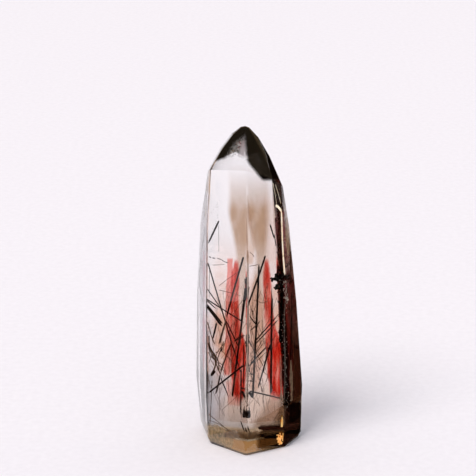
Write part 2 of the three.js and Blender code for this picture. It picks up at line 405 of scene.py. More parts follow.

# The dark tip: a painted reflection of the dark surroundings that the slopes mirror inside the stone. It is a
# black tint just under the polished slopes, with edges set along lines of sight. On the left slope it is thin
# and streaked grey inside a black border, and a pale lilac sliver by the front edge is a painted highlight.
SHELL_SCALE = 0.97
TIP_MIDDLE = (AXIS_X, 0, 0.0545)
TIP_FOOT = 0.05353
TIP_PAINTED_DARK = (0.011, 0.009, 0.007, 1)
EDGE_BLUR = (-0.0004, 0.0004)
FRONT_END = (0.001, 0.0)
TIP_RIGHT_EDGES = [((261.8, 180.1), (246.9, 161.7)), ((274.0, 180.0), (261.8, 180.6))]
TIP_RIGHT_SIDE = ((246.6, 161.7), (244.9, 136.0))
TIP_LEFT_EDGES = [((239.0, 154.5), (218.0, 160.5)), ((243.8, 136.0), (239.0, 154.5))]
TIP_BORDERS = [((246.0, 133.6), (234.0, 143.0)), ((234.0, 143.0), (225.6, 156.6))]
BORDER_FADE = (-0.001, 0.0004)
TIP_RAGGED = 0.0005
TIP_EDGE_GRAIN = 1100
TIP_PATCH_GRAIN = 420
TIP_PATCHES = (0.5, 0.72)
TIP_PATCH_SHARE = 0.012
TIP_REAR = (0.063, 0.065)
# The pale lilac sliver by the front edge of the tip is a painted highlight.
SLIVER_FOOT = ((236.0, 156.0), (248.0, 158.0))
SLIVER_HEIGHTS = (0.0695, 0.0655)
SLIVER_HIGHLIGHT_LILAC = (0.9, 0.84, 0.88, 1)
SLIVER_HIGHLIGHT_COVER = 0.8
FEATHER_TURN = math.radians(52)
FEATHER_DRAWN = 0.1
FEATHER_GRAIN = 2400
FEATHER_BARBS = [(0.4, 0.2), (0.64, 0.8)]
FEATHER_REFLECTION_GREY = (0.62, 0.62, 0.61, 1)


def line_of_sight(pixel):
    """The direction in which the camera sees a photograph pixel."""
    across = (pixel[0] - PHOTO_SIDE / 2) * PIXEL
    up = (PHOTO_SIDE / 2 - pixel[1]) * PIXEL
    aim = AIM + Vector((across, up * math.sin(EYE_ELEVATION), up * math.cos(EYE_ELEVATION)))
    return (aim - eye).normalized()


def beside(wire, place, edge):
    """How far a point is seen to the right of the way that runs from a first pixel to a second one."""
    first, second = edge
    normal = line_of_sight(first).cross(line_of_sight(second)).normalized()
    reach = wire.node("VectorMath", {"operation": "DOT_PRODUCT"}, {0: place, 1: normal}, out=1)
    return reach - normal.dot(eye)


def matte(wire, colour, roughness=0.7, shine=0.5):
    return wire.node("BsdfPrincipled", None, {
        "Base Color": colour,
        "Roughness": roughness,
        "Specular IOR Level": shine,
    })


def painted_tip_reflection_finish():
    material, wire = new_finish("smoky_black_tip")
    place = object_place(wire)
    ragged = (grain(wire, place, TIP_EDGE_GRAIN, detail=4) - 0.5) * TIP_RAGGED

    def side_of(edge, blur=EDGE_BLUR):
        return smooth(wire, beside(wire, place, edge) + ragged, *blur)

    height = coordinate(wire, place, UP)
    front = smooth(wire, coordinate(wire, place, DEPTH), *FRONT_END)
    right_side = side_of(TIP_RIGHT_SIDE)
    left_side = side_of(TIP_LEFT_EDGES[1])
    right = side_of(TIP_RIGHT_EDGES[0]) * side_of(TIP_RIGHT_EDGES[1]) * right_side * front
    left = side_of(TIP_LEFT_EDGES[0]) * left_side * front
    upper, lower = [side_of(edge, BORDER_FADE) for edge in TIP_BORDERS]
    border = upper.larger(lower)
    highlight_sliver = (1 - left_side) * (1 - right_side) * (1 - side_of(SLIVER_FOOT)) * front
    rear = smooth(wire, height + ragged, *TIP_REAR) * (1 - front)
    patches = smooth(wire, grain(wire, place, TIP_PATCH_GRAIN, detail=4), *TIP_PATCHES) * TIP_PATCH_SHARE
    # painted reflection: the dark surroundings that the slopes mirror, laid as a black tint
    dark = (right * (1 - patches)).larger(left * border).larger(rear)
    turned = wire.node("Mapping", None, {"Vector": place, "Rotation": (0, FEATHER_TURN, 0)})
    drawn = drawn_out(wire, turned, FEATHER_DRAWN)
    barbs = ramp(wire, grain(wire, drawn, FEATHER_GRAIN, detail=5), FEATHER_BARBS)
    # the painted dark reflection, as a see-through black tint
    smoke = tinted(wire, dark, TIP_PAINTED_DARK)
    # grey streaks painted inside the dark reflection on the left slope
    feathered_reflection = mixed(wire, left * (1 - border) * barbs, smoke, matte(wire, FEATHER_REFLECTION_GREY))
    # painted highlight: the pale lilac sliver where the polished front edge of the tip catches the light
    pale = highlight_sliver * smooth(wire, height, *SLIVER_HEIGHTS)
    shade = mixed(wire, pale * SLIVER_HIGHLIGHT_COVER, feathered_reflection, matte(wire, SLIVER_HIGHLIGHT_LILAC))
    wire.node("OutputMaterial", None, {"Surface": shade})
    return material


def shell_of_crystal(name, finish, middle, heights, scale=SHELL_SCALE):
    """A copy of the crystal's skin, a little smaller, above the first height and below the second."""
    shell = own_copy(name, crystal.data)
    shell.data.materials.clear()
    shell.data.materials.append(finish)
    select_only(shell)
    bpy.ops.object.mode_set(mode="EDIT")
    bpy.ops.mesh.select_all(action="SELECT")
    bpy.ops.transform.resize(value=(scale,) * 3, center_override=middle)
    for height, up in zip(heights, (1, -1)):
        cut_level(height, up)
    bpy.ops.object.mode_set(mode="OBJECT")
    return shell


painted_tip_shell = shell_of_crystal("smoky_tip", painted_tip_reflection_finish(), TIP_MIDDLE, (TIP_FOOT,))
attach(painted_tip_shell, "root")

# The stains: films of brown, dark and rosy mineral in old cracks just under the front faces, see-through
# or granular: a dark seam down the right front edge and paler streaks beside it. The foot is golden at the
# left and darkens to nearly black towards the right corner, and the right side face is darkened. These darker
# parts are partly painted shade, where the shadowed table and the dark surroundings show through the faces.
STAIN_MIDDLE = (AXIS_X, 0, 0.012)
STAIN_HEIGHTS = (0.0005, 0.0575)
STAIN_BACK = (0.004, 0.003)
STAIN_RAGGED = 3.0
STAIN_EDGE_GRAINS = (1200, 900)
STAIN_DRAWN = 0.25
STREAK_GRAIN = 2600
STAIN_STREAKS = (0.3, 0.55)
MOTTLE_GRAIN = 1500
STAIN_MOTTLE = (0.35, 0.65)
STAIN_GAPS = 0.4
DULL_SHINE = 0.1
GRAINY_DARK = 0.6
GRAINY_GAPS = 0.3
# The rows and columns of the photograph that hold every stain and mark
BAND_ROWS = (170, 460)
BAND_SIDES = (180, 310)
# Each stain or painted shade: whether it is see-through or granular, its colour, how much it covers, how
# softly it ends in pixels, and its left and right limits at rows of the photograph
STAINS_AND_SHADES = [
    ("clear", (0.72, 0.52, 0.4), 0.75, 4, [
        (272, 255, 256), (300, 249, 263), (350, 248.6, 264), (392, 249, 258),
    ]),
    # partly painted shade, in this and the next: the front darker towards the foot at the right, where the
    # shadowed table shows through the base
    ("clear", (0.5, 0.38, 0.29), 0.9, 12, [
        (400, 268, 286), (412, 262, 286), (424, 254, 286), (440, 250, 286),
    ]),
    ("clear", (0.2, 0.13, 0.07), 0.9, 8, [(398, 279, 288), (412, 278, 288), (430, 275, 288)]),
    ("clear", (0.88, 0.31, 0.27), 0.9, 1.5, [
        (258, 227.8, 233.4), (300, 226, 232.6), (330, 226, 232), (376, 224, 230),
    ]),
    ("clear", (0.78, 0.67, 0.58), 1, 0.8, [
        (194, 247.3, 247.7), (208, 246.6, 248.4), (225, 246.5, 248.4), (262, 246.4, 248.3),
    ]),
    ("clear", (0.85, 0.73, 0.64), 1, 3, [
        (206, 247.8, 249), (226, 247.8, 251), (246, 247.8, 255), (264, 247.8, 252),
    ]),
    ("clear", (0.95, 0.42, 0.36), 0.6, 2, [(382, 226, 233), (395, 227, 240), (407, 229, 241)]),
    ("clear", (0.3, 0.2, 0.13), 0.5, 2, [(322, 234, 236), (345, 229, 238), (374, 229, 236)]),
    # painted shade: the right side face darker, where it shows the dark surroundings
    ("clear", (0.45, 0.3, 0.24), 0.85, 2, [
        (250, 289, 294), (300, 288, 299), (350, 289, 301), (406, 291, 302),
    ]),
    ("clear", (0.28, 0.21, 0.15), 0.97, 0.8, [
        (203, 275.8, 280), (225, 276.2, 280.8), (250, 276.4, 281), (270, 276.4, 282),
    ]),
    ("clear", (0.045, 0.036, 0.025), 0.97, 0.8, [
        (266, 276.4, 282), (276, 276.4, 282.5), (300, 278, 284), (330, 278.8, 287), (360, 281.4, 288.6),
        (385, 282, 289.4), (413, 284, 290.5),
    ]),
    ("clear", (0.83, 0.71, 0.53), 1, 2, [(430, 205, 262), (446, 205, 262), (458, 205, 262)]),
    ("grainy", (0.9, 0.68, 0.4), 0.75, 3, [
        (429, 205, 218), (436, 205, 230), (446, 206, 234), (456, 206, 230),
    ]),
    ("clear", (0.5, 0.36, 0.24), 1, 2, [(436, 225, 264), (441.5, 225, 264)]),
    ("grainy", (0.44, 0.26, 0.12), 0.9, 4, [
        (433, 230, 256), (436, 224, 266), (439, 224, 266), (442, 226, 264),
    ]),
    # partly painted shade, in these three: the foot darker to nearly black towards the right corner, where
    # the shadowed table shows through the base
    ("clear", (0.15, 0.09, 0.04), 1, 5, [(430, 262, 290), (440, 258, 290), (454, 257, 290)]),
    ("clear", (0.03, 0.008, 0.005), 1, 2, [(428, 261, 288), (430, 257, 289), (434, 264, 290)]),
    ("clear", (0.04, 0.015, 0.01), 1, 2, [(406, 292, 302), (414, 285, 302), (450, 284, 302)]),
    ("grainy", (0.5, 0.4, 0.3), 0.8, 0.6, [(356, 279.6, 280.8), (375, 279.8, 281.8), (402, 280.6, 282)]),
    ("grainy", (0.95, 0.85, 0.8), 0.9, 0.8, [
        (188, 281, 284.6), (204, 282.6, 287.4), (224, 283.4, 287.6), (240, 286, 287),
    ]),
    ("grainy", (0.85, 0.62, 0.4), 0.8, 0.8, [
        (218, 285, 287), (230, 284.4, 288.2), (244, 285, 288.8), (256, 287, 288),
    ]),
    ("grainy", (0.6, 0.46, 0.3), 0.75, 0.8, [
        (362, 290, 291.6), (385, 290.2, 293.4), (404, 290.8, 293.2),
    ]),
    ("grainy", (0.66, 0.64, 0.55), 0.42, 1, [
        (282, 284.6, 286.2), (300, 284.6, 285.8), (320, 283, 284), (345, 284, 285.2),
        (365, 284.4, 286), (402, 284, 285),
    ]),
]


def picture_place(wire, place):
    """The photograph pixel at which a point is seen, across and down."""
    middle = PHOTO_SIDE / 2
    across = beside(wire, place, ((middle, PHOTO_SIDE), (middle, 0)))
    down = beside(wire, place, ((0, middle), (PHOTO_SIDE, middle)))
    return across * (1 / PIXEL) + middle, down * (1 / PIXEL) + middle


def side_line(wire, rise, stops, rows, sides):
    """A line given by its place across at some rows, read off at a share of the way along the rows."""
    start, end = rows
    left, right = sides
    shares = [((row - start) / (end - start), (across - left) / (right - left)) for row, across in stops]
    return ramp(wire, rise, shares) * (right - left) + left


def band(wire, seen, blur, limits):
    """1 between a left and a right line and between the first and the last row, and 0 outside."""
    across, down = seen
    rise = along(wire, down, *BAND_ROWS)
    left = side_line(wire, rise, [(row, first) for row, first, last in limits], BAND_ROWS, BAND_SIDES)
    right = side_line(wire, rise, [(row, last) for row, first, last in limits], BAND_ROWS, BAND_SIDES)
    half = blur / 2
    inside = smooth(wire, across - left, -half, half) * smooth(wire, right - across, -half, half)
    top, foot = limits[0][0], limits[-1][0]
    return inside * smooth(wire, down, top - blur, top + blur) * smooth(wire, down, foot + blur, foot - blur)


def stain_and_shade_finish():
    material, wire = new_finish("mineral_stain")
    place = object_place(wire)
    across, down = picture_place(wire, place)
    drawn = drawn_out(wire, place, STAIN_DRAWN)
    ragged = across + (grain(wire, drawn, STAIN_EDGE_GRAINS[0], detail=4) - 0.5) * STAIN_RAGGED
    rough = down + (grain(wire, place, STAIN_EDGE_GRAINS[1], detail=4) - 0.5) * STAIN_RAGGED
    streaks = smooth(wire, grain(wire, drawn, STREAK_GRAIN), *STAIN_STREAKS)
    mottle = smooth(wire, grain(wire, place, MOTTLE_GRAIN, detail=4), *STAIN_MOTTLE)
    front = smooth(wire, coordinate(wire, place, DEPTH), *STAIN_BACK)
    shade = sheer(wire)
    for kind, colour, cover, blur, limits in STAINS_AND_SHADES:
        here = band(wire, (ragged, rough), blur, limits) * front
        if kind == "clear":
            layer = sheer(wire, (*colour, 1))
            share = here * (cover - (1 - streaks) * (1 - cover) * STAIN_GAPS)
        else:
            dark = tuple(GRAINY_DARK * part for part in colour)
            layer = matte(wire, ramp(wire, mottle, [(0.0, dark), (1.0, colour)]), shine=DULL_SHINE)
            share = here * (1 - GRAINY_GAPS + streaks * GRAINY_GAPS) * cover
        shade = mixed(wire, share, shade, layer)
    wire.node("OutputMaterial", None, {"Surface": shade})
    return material


stain_and_shade_shell = shell_of_crystal("mineral_stains", stain_and_shade_finish(), STAIN_MIDDLE, STAIN_HEIGHTS)
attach(stain_and_shade_shell, "root")

# The rim: painted shade along the narrow bevel round the cut base, which faces down into the dark contact
# with the table. It is dull and dark along the front and the sides.
RIM_SCALE = 0.992
RIM_MIDDLE = (AXIS_X, 0, 0.0012)
RIM_HEIGHTS = (0.00003, 0.0006)
RIM_FADE = (0.0006, 0.0004)
RIM_BACK = (0.003, 0.001)
RIM_PAINTED_SHADE = [(0.3, (0.02, 0.008, 0.005)), (0.7, (0.07, 0.03, 0.018))]
RIM_GRAIN = 900
RIM_COVER = 0.85
RIM_ROUGHNESS = 0.8


def rim_painted_shade_finish():
    material, wire = new_finish("ground_rim")
    place = object_place(wire)
    low = smooth(wire, coordinate(wire, place, UP), *RIM_FADE)
    front = smooth(wire, coordinate(wire, place, DEPTH), *RIM_BACK)
    # the painted shade's mottled dark brown
    brown = ramp(wire, grain(wire, place, RIM_GRAIN), RIM_PAINTED_SHADE)
    painted_rim_surface = matte(wire, brown, roughness=RIM_ROUGHNESS, shine=DULL_SHINE)
    shade = mixed(wire, low * front * RIM_COVER, sheer(wire), painted_rim_surface)
    wire.node("OutputMaterial", None, {"Surface": shade})
    return material


rim = shell_of_crystal("ground_rim", rim_painted_shade_finish(), RIM_MIDDLE, RIM_HEIGHTS, scale=RIM_SCALE)
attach(rim, "root")

# The silver veil: a healed crack under the left front face, so thin that it reflects like silver paper.
# A dark hair and two rosy flakes lie on it.
SILVER_MIDDLE = (AXIS_X, 0, 0.03)
SILVER_HEIGHTS = (0.006, 0.056)
SILVER_FACING = -0.93
SILVER_FADE = (0.009, 0.026)
SILVER_COVER = 0.8
SILVER_RAGGED = 0.8
SILVER_WHITE = (0.95, 0.93, 0.96, 1)
SILVER_POLISH = (0.08, 0.1)
SILVER_POLISH_GRAIN = 500
SILVER_CLOUDS = (0.1, 0.5)
SILVER_CLOUD_GRAIN = 320
MARK_EDGE_GRAIN = 700
MARK_PATCHES = (0.35, 0.55)
MARK_PATCH_GRAIN = 900
MARK_LEAST = 0.35
MARK_BODY = 0.7
MARK_ROUGHNESS = 0.6
# Each mark: its colour, how much it covers, its blur in pixels, and its limits at rows of the photograph
SILVER_MARKS = [
    ((0.95, 0.4, 0.5), 0.75, 1.2, [
        (250, 204.6, 205.2), (262, 203.6, 206.2), (286, 203, 206), (304, 204.4, 205),
    ]),
    ((0.95, 0.35, 0.45), 0.75, 1.2, [
        (308, 204, 204.6), (322, 202.8, 205.8), (352, 202.4, 205.4), (374, 203.6, 204.2),
    ]),
    ((0.1, 0.11, 0.1), 0.85, 0.4, [
        (226, 206.4, 206.8), (241, 203.9, 204.7), (255, 201.1, 202), (275, 199.3, 200.3), (286, 199.3, 200.4),
        (297, 201.4, 202.6), (309, 204.9, 205.3),
    ]),
]


def silver_finish():
    material, wire = new_finish("silver_veil")
    place = object_place(wire)
    across, down = picture_place(wire, place)
    seen = (across + (grain(wire, place, MARK_EDGE_GRAIN, detail=4) - 0.5) * SILVER_RAGGED, down)
    patches = smooth(wire, grain(wire, place, MARK_PATCH_GRAIN, detail=4), *MARK_PATCHES)
    patches = MARK_LEAST + patches * (1 - MARK_LEAST)
    sheen = wire.node("BsdfPrincipled", None, {
        "Base Color": SILVER_WHITE,
        "Metallic": 1.0,
        "Roughness": SILVER_POLISH[0] + grain(wire, place, SILVER_POLISH_GRAIN) * SILVER_POLISH[1],
    })
    clouds = smooth(wire, grain(wire, place, SILVER_CLOUD_GRAIN, detail=4), *SILVER_CLOUDS)
    cover = smooth(wire, coordinate(wire, place, UP), *SILVER_FADE) * clouds * SILVER_COVER
    shade = mixed(wire, cover, sheer(wire), sheen)
    for colour, strength, blur, limits in SILVER_MARKS:
        tint = (*colour, 1)
        flake = mixed(wire, MARK_BODY, sheer(wire, tint), matte(wire, tint, roughness=MARK_ROUGHNESS))
        share = band(wire, seen, blur, limits) * patches * strength
        shade = mixed(wire, share, shade, flake)
    wire.node("OutputMaterial", None, {"Surface": shade})
    return material


silver = shell_of_crystal("silver_veil", silver_finish(), SILVER_MIDDLE, SILVER_HEIGHTS)
choose_faces(silver, lambda face: face.normal.x > SILVER_FACING)
bpy.ops.mesh.delete(type="FACE")
bpy.ops.object.mode_set(mode="OBJECT")
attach(silver, "root")

# The needles: dark brown to black crystals that the quartz grew around, each one a straight rod with a
# half gloss. They stay where the frame has them.
NEEDLE_COLOURS = [(0.3, (0.003, 0.003, 0.003)), (0.72, (0.018, 0.011, 0.007))]
NEEDLE_ROUGHNESS = (0.3, 0.3)
NEEDLE_SHINE = 0.15
NEEDLE_GRAIN = 2600
PIT_GRAIN = 5200
PIT_STRENGTH = 0.4
PIT_DEPTH = 0.0001


def needle_finish():
    material, wire = new_finish("dark_needle")
    place = object_place(wire)
    mottle = grain(wire, place, NEEDLE_GRAIN)
    pits = grain(wire, place, PIT_GRAIN)
    gloss = wire.node("BsdfPrincipled", None, {
        "Base Color": ramp(wire, mottle, NEEDLE_COLOURS),
        "Roughness": NEEDLE_ROUGHNESS[0] + mottle * NEEDLE_ROUGHNESS[1],
        "Specular IOR Level": NEEDLE_SHINE,
        "Normal": wire.node("Bump", None, {"Strength": PIT_STRENGTH, "Distance": PIT_DEPTH, "Height": pits}),
    })
    wire.node("OutputMaterial", None, {"Surface": gloss})
    return material


dark_needle = needle_finish()
for name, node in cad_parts.items():
    if name.startswith("needle_"):
        node.data.materials.clear()
        node.data.materials.append(dark_needle)

# The fine needles: hairs of the same mineral, down to a thirtieth of a millimetre, black, brown or grey,
# and the pale or golden cracks and flakes that run as fine. Each is a slim five-sided rod in the quartz, and
# the golden and amber ones glow as painted glints.
ROD_SIDES = 5
ROD_POINT = 0.05
ROD_TAPER = 0.3
ROD_END = 0.9
HAIR_COLOURS = {
    "dark": ((0.004, 0.004, 0.004), (0.02, 0.013, 0.009)),
    "brown": ((0.07, 0.035, 0.016), (0.16, 0.09, 0.045)),
    "grey": ((0.14, 0.15, 0.14), (0.3, 0.31, 0.3)),
    "tan": ((0.6, 0.45, 0.38), (0.85, 0.72, 0.64)),
    "olive": ((0.1, 0.07, 0.035), (0.3, 0.22, 0.13)),
    "gold": ((0.85, 0.7, 0.5), (0.98, 0.9, 0.75)),
    "amber": ((0.8, 0.36, 0.08), (0.95, 0.62, 0.25)),
}
# The golden streaks and amber sparks glow: painted glints where light gathered in the stone catches them,
# which a plain surface can't show; the tan hair glows faintly
HAIR_PAINTED_GLOW = {"gold": 0.8, "amber": 0.6, "tan": 0.15}
# Each hair: its colour, its width in mm, its depth in mm under the polished face, and the photograph
# pixels that it runs through
HAIRS = [
    ("dark", 0.22, 2.2, [(207.5, 256.4), (211, 257.6)]),
    ("dark", 0.2, 2.2, [(212.5, 258), (215, 258.4)]),
    ("dark", 0.16, 2.2, [(217.3, 258.4), (221.3, 259.5), (223.6, 261.3), (228.2, 263)]),
    ("brown", 0.1, 3.0, [(212.7, 265.3), (224.7, 264.4)]),
    ("brown", 0.1, 3.2, [(219, 286), (226, 280.2), (238, 272)]),
    ("brown", 0.12, 3.4, [(219, 290), (232.8, 293.4), (240, 295.6)]),
    ("grey", 0.1, 3.0, [(218.7, 225), (219, 252)]),
    ("grey", 0.12, 1.8, [(209.5, 270), (209.3, 298)]),
    ("brown", 0.26, 3.6, [(207.6, 322), (211.2, 335), (214.5, 344)]),
    ("dark", 0.3, 3.2, [(207, 335.5), (207, 341), (210.4, 349.3)]),
    ("brown", 0.42, 3.2, [(210.4, 349.3), (216, 356.5)]),
    ("brown", 0.36, 3.3, [(216, 356), (215.5, 366), (213.4, 371)]),
    ("brown", 0.2, 3.4, [(204.8, 346), (209.6, 351), (216, 358)]),
    ("brown", 0.18, 3.5, [(204.8, 350), (210, 356), (217, 362)]),
    ("brown", 0.14, 3.5, [(205.5, 355), (211, 360), (215, 367)]),
    ("brown", 0.2, 3.4, [(216, 356), (218.4, 361), (219.2, 371)]),
    ("brown", 0.16, 3.0, [(224.7, 343), (218, 351), (214, 360)]),
    ("dark", 0.42, 3.0, [(221.8, 348.6), (220.6, 351.4)]),
    ("brown", 0.12, 3.4, [(216, 359), (222, 365), (226, 372)]),
    ("brown", 0.12, 3.6, [(214.5, 362), (223, 364.5)]),
    ("dark", 0.22, 4.6, [(227, 329), (235.6, 354.5), (240.3, 371.7)]),
    ("dark", 0.14, 4.0, [(237, 345), (231, 362)]),
    ("dark", 0.24, 1.4, [(208.2, 391.6), (206.4, 394.6), (206.2, 398.2)]),
    ("dark", 0.3, 3.0, [(207.4, 304.4), (222.6, 323.6)]),
    ("dark", 0.45, 2.0, [(271.9, 298), (271.2, 330), (270.8, 352)]),
    ("dark", 0.3, 2.0, [(270.8, 352), (270.6, 382)]),
    ("dark", 0.16, 1.4, [(274, 236.6), (275.8, 246.5)]),
    ("dark", 0.26, 1.6, [(246.3, 278.5), (245.3, 288.5)]),
    ("dark", 0.5, 1.6, [(245.4, 287.5), (243.5, 303), (241.4, 322)]),
    ("dark", 0.34, 1.6, [(241.4, 322), (238.8, 344)]),
    ("brown", 0.3, 3.2, [(206.3, 342), (209.5, 350), (214.4, 358.5), (217, 366), (220.4, 374)]),
    ("brown", 0.22, 3.0, [(206.6, 336), (209.4, 345), (215, 356)]),
    ("brown", 0.2, 3.6, [(223.8, 341), (218.8, 355), (216.3, 362.5)]),
    ("brown", 0.24, 3.4, [(226.3, 318.8), (222, 332), (218.8, 343.8)]),
    ("brown", 0.18, 3.2, [(229.4, 346), (223, 366), (219.6, 376), (215.6, 394)]),
    ("brown", 0.16, 3.6, [(208, 352), (217, 362), (226, 374)]),
    ("brown", 0.14, 3.8, [(206.4, 362), (212, 355), (219, 351)]),
    ("brown", 0.14, 3.4, [(221, 350), (229, 358), (236, 367)]),
    ("dark", 0.2, 2.2, [(241.4, 365.4), (246.6, 366)]),
    ("dark", 0.22, 2.0, [(248.4, 366), (252, 363.6), (256.6, 357.8)]),
    ("brown", 0.16, 2.6, [(250, 344), (256, 352), (263, 366)]),
    ("brown", 0.16, 2.4, [(262.5, 344), (257, 352), (250.6, 361)]),
    ("dark", 0.5, 2.2, [(244.9, 411), (244.5, 416.6)]),
    ("dark", 0.5, 2.2, [(248.9, 410.5), (249.5, 416.6)]),
    ("brown", 0.2, 0.8, [(209.5, 427.2), (218, 428.6), (227, 430.4), (232, 434)]),
    ("brown", 0.16, 1.2, [(208.6, 414), (217, 421), (229, 431)]),
    ("brown", 0.12, 1.6, [(209, 420), (219, 424), (232, 432)]),
    ("brown", 0.18, 2.2, [(212.2, 380), (211, 405), (209.4, 437)]),
    ("dark", 0.24, 2.6, [(235, 340), (239.5, 337), (243.7, 335.5), (246.2, 335.5)]),
    ("dark", 0.1, 2.4, [(250.2, 252.6), (252.6, 254.4), (254.2, 257.2)]),
    ("brown", 0.12, 2.4, [(249.6, 266.4), (258, 264.7)]),
    ("tan", 0.26, 0.6, [(247.5, 250), (247.7, 300), (247.4, 345), (247.0, 404)]),
    ("brown", 0.1, 0.5, [(248.2, 262), (248.3, 300), (247.9, 345), (247.4, 404)]),
    ("dark", 0.3, 1.8, [(248.2, 373.8), (252.7, 374.2)]),
    ("dark", 0.32, 1.8, [(248.2, 380.8), (252.7, 381)]),
    ("dark", 0.26, 2.0, [(248.2, 392.8), (252.6, 393.2)]),
    ("dark", 0.16, 1.8, [(273.4, 320), (280.3, 312.5)]),
    ("brown", 0.12, 3.0, [(254, 300), (262, 303), (268, 301)]),
    ("dark", 0.12, 2.0, [(251.3, 330), (255, 327), (260.2, 321)]),
    ("dark", 0.14, 2.8, [(262, 340), (252, 360), (249, 372)]),
    ("dark", 0.12, 3.0, [(275, 335), (266, 352), (256, 362)]),
    ("brown", 0.12, 3.0, [(250, 352), (258, 372), (262, 392)]),
    ("grey", 0.16, 0.8, [(201.5, 320), (201.8, 366)]),
    # painted glints: the golden streaks down the right face and the amber sparks at its foot, which glow
    ("gold", 0.5, 0.3, [(281.4, 212), (281.9, 226), (282.3, 240)]),
    ("gold", 0.5, 0.3, [(282.3, 240), (283.2, 256), (284.7, 275)]),
    ("amber", 0.4, 0.5, [(281.9, 415), (281.6, 419.5)]),
    ("amber", 0.75, 0.6, [(281.6, 419), (281.2, 427)]),
    ("amber", 0.7, 0.6, [(278.4, 434.5), (278.0, 441.5)]),
    ("amber", 0.9, 0.7, [(280.4, 431.5), (279.8, 444.5)]),
    ("amber", 0.7, 0.6, [(282.4, 432.5), (281.8, 441)]),
    ("gold", 0.6, 0.35, [(276.0, 205.6), (278.6, 207.4), (281.2, 211.0)]),
    ("gold", 0.3, 0.35, [(281.2, 211.0), (282.0, 218)]),
    ("gold", 0.1, 0.8, [(275.5, 184), (279, 196), (281, 204)]),
    ("gold", 0.08, 0.8, [(272.5, 183), (275.4, 195), (276.6, 204)]),
    ("olive", 0.4, 1.0, [(289.4, 236), (291.4, 285)]),
    ("olive", 0.2, 1.0, [(292.4, 318), (294.6, 402)]),
    ("grey", 0.16, 1.0, [(279, 257), (283, 274.5)]),
    ("grey", 0.12, 1.0, [(278.4, 240), (281.6, 272)]),
    ("grey", 0.1, 1.0, [(279.8, 232), (282.4, 262)]),
]
STRAY_SEED = 11
STRAY_TRIES = 900
STRAY_COUNT = 150
STRAY_HEIGHTS = (0.005, 0.036)
STRAY_LENGTHS = (0.0018, 0.010)
STRAY_WIDTHS = (0.00003, 0.00009)
STRAY_SHARES = (0.1, 0.93)
STRAY_LEAN = 0.35
STRAY_KINDS = ["dark", "brown", "brown"]
HAIR_DRAWN = 0.3
HAIR_GRAIN = 2200
HAIR_SPLIT = (0.35, 0.65)
HAIR_ROUGHNESS = (0.35, 0.3)


def hair_finish(name, low, high):
    material, wire = new_finish(name + "_hair")
    place = object_place(wire)
    shades = grain(wire, drawn_out(wire, place, HAIR_DRAWN), HAIR_GRAIN)
    colour = ramp(wire, shades, list(zip(HAIR_SPLIT, (low, high))))
    silky = wire.node("BsdfPrincipled", None, {
        "Base Color": colour,
        "Roughness": HAIR_ROUGHNESS[0] + grain(wire, place, PIT_GRAIN) * HAIR_ROUGHNESS[1],
        "Specular IOR Level": NEEDLE_SHINE,
        # painted light: emission for the kinds that glow
        "Emission Color": colour,
        "Emission Strength": HAIR_PAINTED_GLOW.get(name, 0.0),
    })
    wire.node("OutputMaterial", None, {"Surface": silky})
    return material


def sighted(pixel, depth):
    """The point at that depth in mm under the polished face, on a photograph pixel's line of sight."""
    line = line_of_sight(pixel)
    entry, normal = crystal.ray_cast(eye, line)[1:3]
    cosine = -normal.dot(line)
    bend = math.sqrt(1 - (1 - cosine ** 2) / QUARTZ_IOR ** 2)
    inside = line / QUARTZ_IOR + normal * (cosine / QUARTZ_IOR - bend)
    return entry + inside * depth / 1000


bpy.ops.object.select_all(action="DESELECT")
bpy.ops.mesh.primitive_cylinder_add(
    vertices=ROD_SIDES, radius=0.5, depth=1 - 2 * ROD_POINT, location=(0, 0, 0.5),
)
rod = bpy.context.object
bpy.ops.object.transform_apply(location=True, rotation=True, scale=True)
for up in (-1, 1):
    choose_faces(rod, lambda face: face.normal.z * up > ROD_END)
    bpy.ops.mesh.extrude_region_move(TRANSFORM_OT_translate={"value": (0, 0, up * ROD_POINT)})
    bpy.ops.transform.resize(value=(ROD_TAPER, ROD_TAPER, 1))
    bpy.ops.object.mode_set(mode="OBJECT")


def laid_rod(start, end, width):
    """A copy of the rod, laid from start to end, as wide as given in mm."""
    way = end - start
    copy = own_copy("rod", rod.data)
    copy.location = start
    copy.rotation_euler = way.to_track_quat("Z", "Y").to_euler()
    copy.scale = (width / 1000, width / 1000, way.length)
    return copy


def joined(pieces, name):
    select_only(*pieces)
    bpy.ops.object.transform_apply(location=True, rotation=True, scale=True)
    bpy.ops.object.join()
    whole = bpy.context.object
    whole.name = name
    return whole


rods = {kind: [] for kind in HAIR_COLOURS}
for kind, width, depth, route in HAIRS:
    points = [sighted(pixel, depth) for pixel in route]
    for start, end in zip(points, points[1:]):
        rods[kind].append(laid_rod(start, end, width))

chance = random.Random(STRAY_SEED)
strays = 0
for attempt in range(STRAY_TRIES):
    turn = chance.uniform(0, 2 * math.pi)
    share = chance.uniform(*STRAY_SHARES)
    middle = Vector((AXIS_X, 0, chance.uniform(*STRAY_HEIGHTS)))
    surface = reach_towards(middle, Vector((math.cos(turn), math.sin(turn), 0)))
    start = middle.lerp(surface, share)
    lean = Vector((chance.gauss(0, STRAY_LEAN), chance.gauss(0, STRAY_LEAN), 1)).normalized()
    end = start + lean * chance.uniform(*STRAY_LENGTHS)
    width = 1000 * chance.uniform(*STRAY_WIDTHS)
    kind = chance.choice(STRAY_KINDS)
    if strays < STRAY_COUNT and share_of_reach(end) < STRAY_SHARES[1] and end.z < STRAY_HEIGHTS[1]:
        rods[kind].append(laid_rod(start, end, width))
        strays += 1

for kind, (low, high) in HAIR_COLOURS.items():
    hairs = joined(rods[kind], kind + "_hairs")
    hairs.data.materials.append(hair_finish(kind, low, high))
    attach(hairs, "root")
bpy.data.objects.remove(rod)

